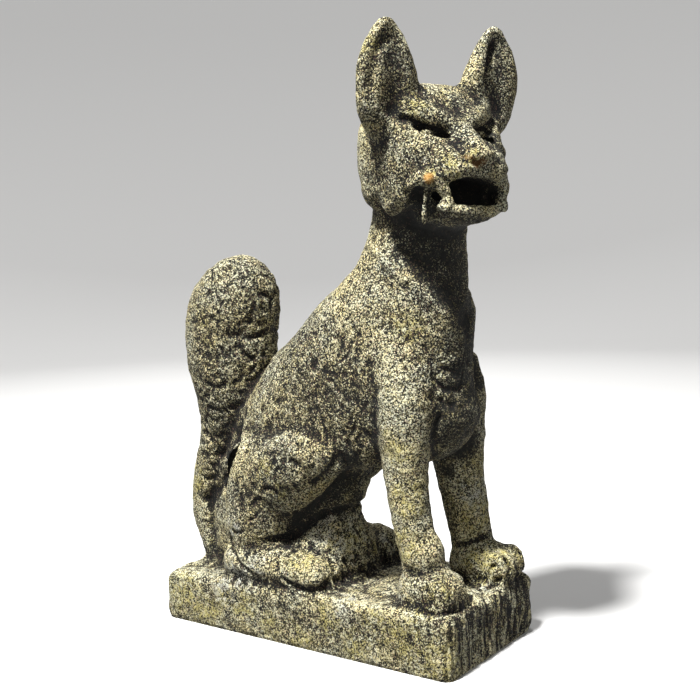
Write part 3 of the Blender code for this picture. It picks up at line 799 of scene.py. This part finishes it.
class Paint:
    """A short way to write one material's nodes."""

    def __init__(self, name):
        self.material = bpy.data.materials.new(name)
        self.material.use_nodes = True
        self.tree = self.material.node_tree
        self.shader = self.tree.nodes["Principled BSDF"]
        self.place = self.tree.nodes.new("ShaderNodeTexCoord").outputs["Object"]

    def put(self, socket, value):
        if isinstance(value, bpy.types.NodeSocket):
            self.tree.links.new(value, socket)
        else:
            socket.default_value = value

    def stored(self, name):
        node = self.tree.nodes.new("ShaderNodeAttribute")
        node.attribute_name = name
        return node.outputs["Fac"]

    def noise(self, size, detail=3.0, rough=0.55, bend=0.0):
        node = self.tree.nodes.new("ShaderNodeTexNoise")
        self.put(node.inputs["Vector"], self.place)
        node.inputs["Scale"].default_value = 1 / size
        node.inputs["Detail"].default_value = detail
        node.inputs["Roughness"].default_value = rough
        node.inputs["Distortion"].default_value = bend
        return node.outputs["Fac"]

    def upright(self, size, squeeze):
        """Noise drawn out along the height."""
        node = self.tree.nodes.new("ShaderNodeMapping")
        self.put(node.inputs["Vector"], self.place)
        node.inputs["Scale"].default_value = (1.0, 1.0, squeeze)
        tall = self.tree.nodes.new("ShaderNodeTexNoise")
        self.put(tall.inputs["Vector"], node.outputs["Vector"])
        tall.inputs["Scale"].default_value = 1 / size
        tall.inputs["Detail"].default_value = 2.0
        return tall.outputs["Fac"]

    def cells(self, size):
        """Three chance numbers for each grain."""
        node = self.tree.nodes.new("ShaderNodeTexVoronoi")
        self.put(node.inputs["Vector"], self.place)
        node.inputs["Scale"].default_value = 1 / size
        parts = self.tree.nodes.new("ShaderNodeSeparateColor")
        self.put(parts.inputs["Color"], node.outputs["Color"])
        return [parts.outputs[k] for k in ("Red", "Green", "Blue")]

    def math(self, kind, a, b=0.0):
        node = self.tree.nodes.new("ShaderNodeMath")
        node.operation = kind
        self.put(node.inputs[0], a)
        self.put(node.inputs[1], b)
        return node.outputs[0]

    def more(self, value, part, weight):
        return self.math("ADD", value, self.math("MULTIPLY", part, weight))

    def less(self, value, part, weight):
        return self.math("SUBTRACT", value, self.math("MULTIPLY", part, weight))

    def past(self, value, middle):
        return self.math("SUBTRACT", value, middle)

    def between(self, value, low, high):
        """0 below low, 1 above high, smooth between them."""
        node = self.tree.nodes.new("ShaderNodeMapRange")
        node.interpolation_type = "SMOOTHSTEP"
        self.put(node.inputs["Value"], value)
        node.inputs["From Min"].default_value = low
        node.inputs["From Max"].default_value = high
        return node.outputs["Result"]

    def blend(self, amount, a, b, kind="MIX"):
        node = self.tree.nodes.new("ShaderNodeMix")
        node.data_type = "RGBA"
        node.blend_type = kind
        self.put(node.inputs["Factor"], amount)
        self.put(node.inputs[6], a)
        self.put(node.inputs[7], b)
        return node.outputs[2]

    def ramp(self, value, stops):
        node = self.tree.nodes.new("ShaderNodeValToRGB")
        self.put(node.inputs["Fac"], value)
        elements = node.color_ramp.elements
        while len(elements) < len(stops):
            elements.new(0.5)
        for element, (at, colour) in zip(elements, stops):
            element.position = at
            element.color = (*colour, 1.0)
        return node.outputs["Color"]

    def bump(self, height, strength, depth, below=None):
        node = self.tree.nodes.new("ShaderNodeBump")
        self.put(node.inputs["Height"], height)
        node.inputs["Strength"].default_value = strength
        node.inputs["Distance"].default_value = depth
        if below is not None:
            self.put(node.inputs["Normal"], below)
        return node.outputs["Normal"]


GRAIN_COLOURS = (
    (0.00, (0.004, 0.004, 0.005)),
    (0.36, (0.014, 0.014, 0.012)),
    (0.52, (0.060, 0.056, 0.040)),
    (0.68, (0.185, 0.173, 0.120)),
    (0.82, (0.430, 0.402, 0.285)),
    (1.00, (0.880, 0.850, 0.680)),
)

GRAIN_TINTS = (
    (0.00, (1.00, 0.86, 0.52)),
    (0.30, (1.00, 0.98, 0.86)),
    (0.55, (0.93, 0.96, 0.88)),
    (0.75, (1.00, 1.00, 1.00)),
    (1.00, (1.00, 0.86, 0.78)),
)

# Sizes of the grains in metres
COARSE_GRAIN = 0.0011
FINE_GRAIN = 0.0006

COOL_STONE = (0.94, 0.97, 0.95, 1.0)
WARM_STONE = (1.0, 0.95, 0.76, 1.0)
BROWN_GRAIN = (0.30, 0.18, 0.13, 1.0)
OCHRE_DARK = (0.54, 0.43, 0.085, 1.0)
OCHRE_LIGHT = (0.74, 0.68, 0.29, 1.0)
CHALK = (0.68, 0.71, 0.68, 1.0)
KNOB_DARK = (0.42, 0.17, 0.03, 1.0)
KNOB_LIGHT = (0.80, 0.46, 0.12, 1.0)
RUST_BROWN = (0.20, 0.10, 0.03, 1.0)
DIRT_AND_SHADE_FILM = (0.018, 0.019, 0.016, 1.0)
PAINTED_SHADE_BLACK = (0.010, 0.011, 0.009, 1.0)


def paint(fox):
    p = Paint("granite")
    hollow = p.stored("hollow")
    edge = p.stored("edge")
    closed = p.stored("closed_in")
    painted_shade = p.stored("painted_shade")
    pale = p.math("MULTIPLY", p.stored("pale"), p.between(p.noise(0.009, 4.0, 0.7), 0.42, 0.60))
    coarse_value, coarse_tint, _ = p.cells(COARSE_GRAIN)
    fine_value, fine_tint, _ = p.cells(FINE_GRAIN)
    spread = p.noise(0.0060, 2.0)
    broad = p.noise(0.050, 3.0, 0.6)

    # How light each grain is: its own chance, darker in hollows and paler on worn edges
    value = p.math("MULTIPLY", coarse_value, 0.84)
    value = p.more(value, p.past(fine_value, 0.22), 0.50)
    value = p.more(value, p.past(spread, 0.5), 0.20)
    value = p.more(value, p.past(broad, 0.5), 0.26)
    # Darker in hollows and where the stone hides the sky: partly dirt, partly painted shade
    value = p.less(value, hollow, 0.36)
    value = p.less(value, p.between(closed, 0.45, 1.0), 0.30)
    # Darker stone, and painted shade on belly, neck, chest and far face
    value = p.less(value, p.stored("dark_stone_and_shade"), 0.13)
    # Painted shade: darker on the neck, chest, far face, under the lip and in the recesses by thigh and tail
    value = p.less(value, painted_shade, 0.26)
    value = p.more(value, edge, 0.12)
    # Painted light and shade of raking light, in upright stripes on the slab's front
    streak = p.past(p.between(p.upright(0.0042, 0.12), 0.40, 0.60), 0.60)
    value = p.more(value, streak, p.math("MULTIPLY", p.stored("chisel_light_and_shade"), 0.55))
    blotch = p.math("MULTIPLY", p.past(spread, 0.5), p.stored("slab"))
    value = p.more(value, blotch, 0.60)
    # Painted light on the slab's top
    value = p.more(value, p.stored("slab_top_light"), 0.09)
    value = p.less(value, p.stored("slab"), 0.03)
    value = p.past(p.math("MULTIPLY", value, 1.38), 0.255)
    # Pale lichen, and painted light on the far foreleg and the mound between the hind feet
    value = p.more(value, pale, 0.20)
    stone = p.ramp(value, GRAIN_COLOURS)

    # Warm and cool areas, and grains of other minerals
    tint = p.blend(p.between(p.noise(0.035, 4.0, 0.65), 0.35, 0.65), COOL_STONE, WARM_STONE)
    stone = p.blend(1.0, stone, tint, "MULTIPLY")
    own_tint = p.ramp(coarse_tint, GRAIN_TINTS)
    stone = p.blend(0.75, stone, own_tint, "MULTIPLY")
    stone = p.blend(p.math("MULTIPLY", p.between(coarse_tint, 0.90, 0.93), 0.22), stone, BROWN_GRAIN)

    # Lichens, then near-black films: dirt and painted shade where the stone hides the sky, and painted shade
    ragged = p.between(p.noise(0.007, 5.0, 0.75), 0.40, 0.62)
    all_over = p.between(p.noise(0.028, 5.0, 0.7), 0.56, 0.70)
    # Yellow lichen, and painted light on the far foreleg and paw and on the mound between the hind feet
    yellow = p.math("MAXIMUM", p.stored("yellow"), p.math("MULTIPLY", all_over, 0.45))
    yellow = p.math("MULTIPLY", yellow, ragged)
    yellow = p.math("MULTIPLY", yellow, p.between(value, 0.30, 0.60))
    ochre = p.blend(fine_tint, OCHRE_DARK, OCHRE_LIGHT)
    stone = p.blend(p.math("MULTIPLY", yellow, 0.80), stone, ochre)
    chalk = p.math("MULTIPLY", pale, p.between(value, 0.45, 0.75))
    stone = p.blend(p.math("MULTIPLY", chalk, 0.55), stone, CHALK)
    knob = p.blend(fine_value, KNOB_DARK, KNOB_LIGHT)
    stone = p.blend(p.math("MULTIPLY", p.stored("orange"), 0.85), stone, knob)
    stone = p.blend(p.math("MULTIPLY", p.stored("rust"), 0.60), stone, RUST_BROWN)
    # Dirt and painted shade in places hidden from the sky
    stone = p.blend(p.math("MULTIPLY", p.between(closed, 0.55, 1.0), 0.60), stone, DIRT_AND_SHADE_FILM)
    # Painted shade: the same places turned near black
    stone = p.blend(p.math("MULTIPLY", painted_shade, 0.55), stone, PAINTED_SHADE_BLACK)
    p.put(p.shader.inputs["Base Color"], stone)
    p.shader.inputs["Roughness"].default_value = 0.92
    p.shader.inputs["Specular IOR Level"].default_value = 0.30

    # Rough breaks, then the grains themselves
    normal = p.bump(p.noise(0.0075, 4.0, 0.7), 0.55, 0.0030)
    normal = p.bump(coarse_value, 0.75, 0.0011, normal)
    normal = p.bump(fine_value, 0.50, 0.0006, normal)
    p.put(p.shader.inputs["Normal"], normal)
    fox.data.materials.append(p.material)


# Floor and light

FLOOR_REACH = 2.4
BOWL_BEND = 1.2
BOWL_TOP = 2.6
BOWL_STEPS = 16
FLOOR_SIDES = 96
FLOOR_COLOUR = (0.80, 0.795, 0.78, 1.0)


def make_floor():
    """A round floor that turns up smoothly into a plain wall."""
    profile = [(0.0, 0.0), (FLOOR_REACH, 0.0)]
    for k in range(1, BOWL_STEPS + 1):
        angle = math.pi / 2 * k / BOWL_STEPS
        profile.append((FLOOR_REACH + BOWL_BEND * math.sin(angle), BOWL_BEND * (1 - math.cos(angle))))
    profile.append((FLOOR_REACH + BOWL_BEND, BOWL_TOP))
    verts = [(0.0, 0.0, 0.0)]
    faces = []
    for radius, height in profile[1:]:
        for k in range(FLOOR_SIDES):
            angle = 2 * math.pi * k / FLOOR_SIDES
            verts.append((radius * math.cos(angle), radius * math.sin(angle), height))
    for k in range(FLOOR_SIDES):
        faces.append((0, 1 + k, 1 + (k + 1) % FLOOR_SIDES))
    for i in range(len(profile) - 2):
        for k in range(FLOOR_SIDES):
            low = 1 + i * FLOOR_SIDES
            n = (k + 1) % FLOOR_SIDES
            faces.append((low + k, low + FLOOR_SIDES + k, low + FLOOR_SIDES + n, low + n))
    floor = new_object("floor", verts, faces)
    floor.data.shade_smooth()
    floor.visible_diffuse = False
    material = bpy.data.materials.new("floor")
    material.use_nodes = True
    shader = material.node_tree.nodes["Principled BSDF"]
    shader.inputs["Base Color"].default_value = FLOOR_COLOUR
    shader.inputs["Roughness"].default_value = 0.9
    shader.inputs["Specular IOR Level"].default_value = 0.1
    floor.data.materials.append(material)


SKY_COLOUR = (0.98, 0.98, 1.0, 1.0)
SKY_STRENGTH = 0.18
LIGHT_TARGET = Vector((0.0, 0.0, 0.25))
LIGHTS = (
    # name, azimuth and height of the light in degrees, distance, size, power
    ("key", -90, 66, 2.6, 0.32, 155.0),
    ("fill", -45, 12, 2.2, 1.2, 4.5),
    ("back", 128, 38, 2.4, 1.2, 20.0),
)


def make_light():
    world = bpy.data.worlds.new("studio")
    bpy.context.scene.world = world
    world.use_nodes = True
    back = world.node_tree.nodes["Background"]
    back.inputs["Color"].default_value = SKY_COLOUR
    back.inputs["Strength"].default_value = SKY_STRENGTH
    for name, azimuth, height, distance, size, power in LIGHTS:
        azimuth = math.radians(azimuth)
        height = math.radians(height)
        flat = math.cos(height)
        way = Vector((math.sin(azimuth) * flat, -math.cos(azimuth) * flat, math.sin(height)))
        light = bpy.data.lights.new(name, "AREA")
        light.shape = "DISK"
        light.size = size
        light.energy = power
        obj = bpy.data.objects.new(name, light)
        obj.location = LIGHT_TARGET + way * distance
        obj.rotation_euler = way.to_track_quat("Z", "Y").to_euler()
        bpy.context.scene.collection.objects.link(obj)


bpy.context.scene.view_settings.view_transform = "Standard"
make_camera()
fox = make_fox()
mark(fox)
paint(fox)
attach(fox, "root")
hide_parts("fox_statue")
make_floor()
make_light()
